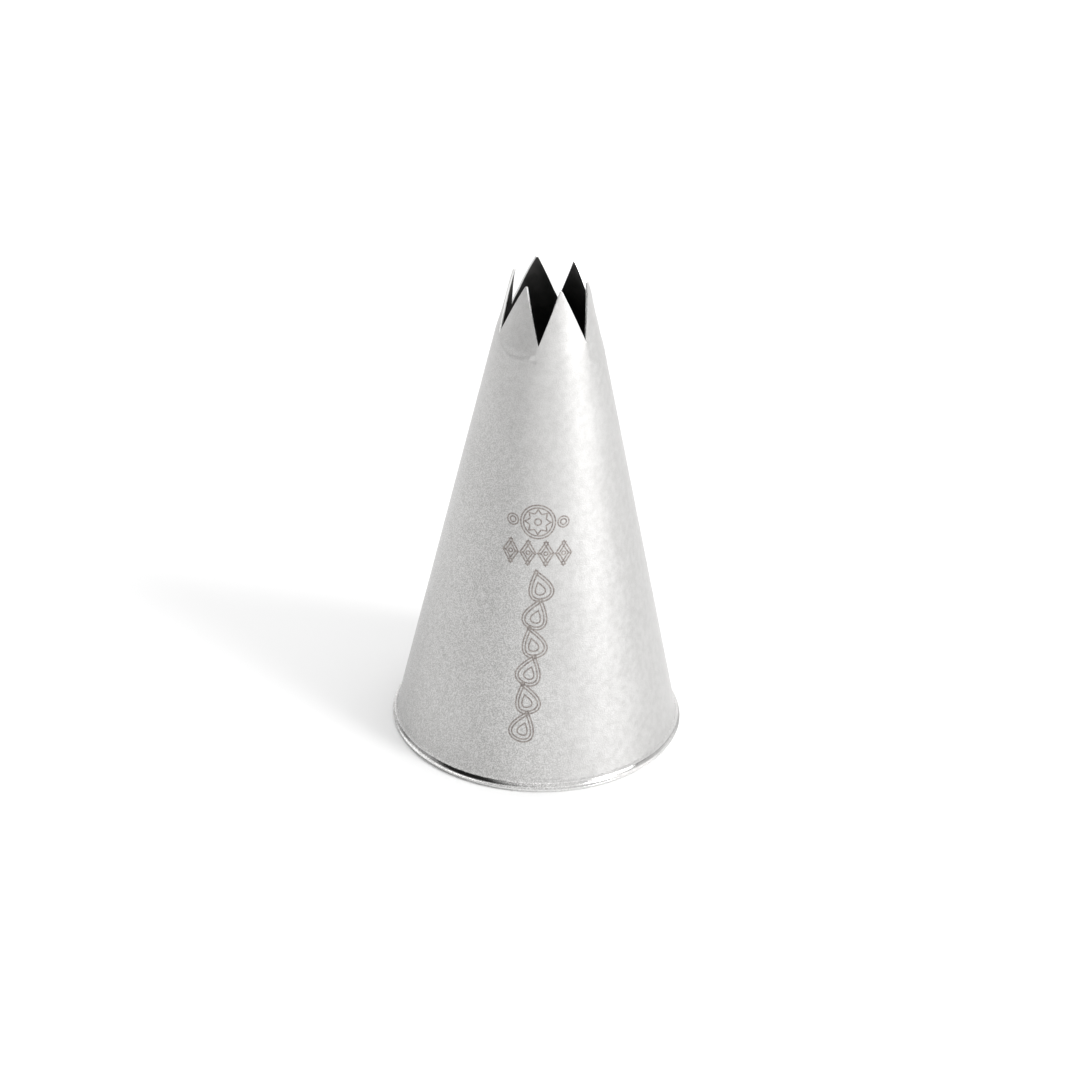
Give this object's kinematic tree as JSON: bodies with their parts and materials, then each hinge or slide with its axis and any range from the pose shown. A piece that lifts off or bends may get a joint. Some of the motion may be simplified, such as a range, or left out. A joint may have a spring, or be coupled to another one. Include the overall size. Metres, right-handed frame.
{
  "type": "piping nozzle",
  "caption": "Open star piping nozzle: a seamless conical shell of thin stainless sheet with a ring of pointed teeth at its narrow mouth and a small turned-out rim at its wide end.",
  "frame": {"origin": "on the nozzle's axis, in the plane of the rim's flat foot that it stands on", "axes": "+Z along the axis, from the wide end to the tooth tips; +X and +Y are level, and the tooth nearest +X points 10.7 degrees from it towards -Y"},
  "size_m": [0.028, 0.028, 0.05],
  "materials": {
    "satin_steel": "satin, finely tumbled stainless steel"
  },
  "bodies": {
    "root": {"nozzle": "satin_steel"}
  },
  "joints": []
}
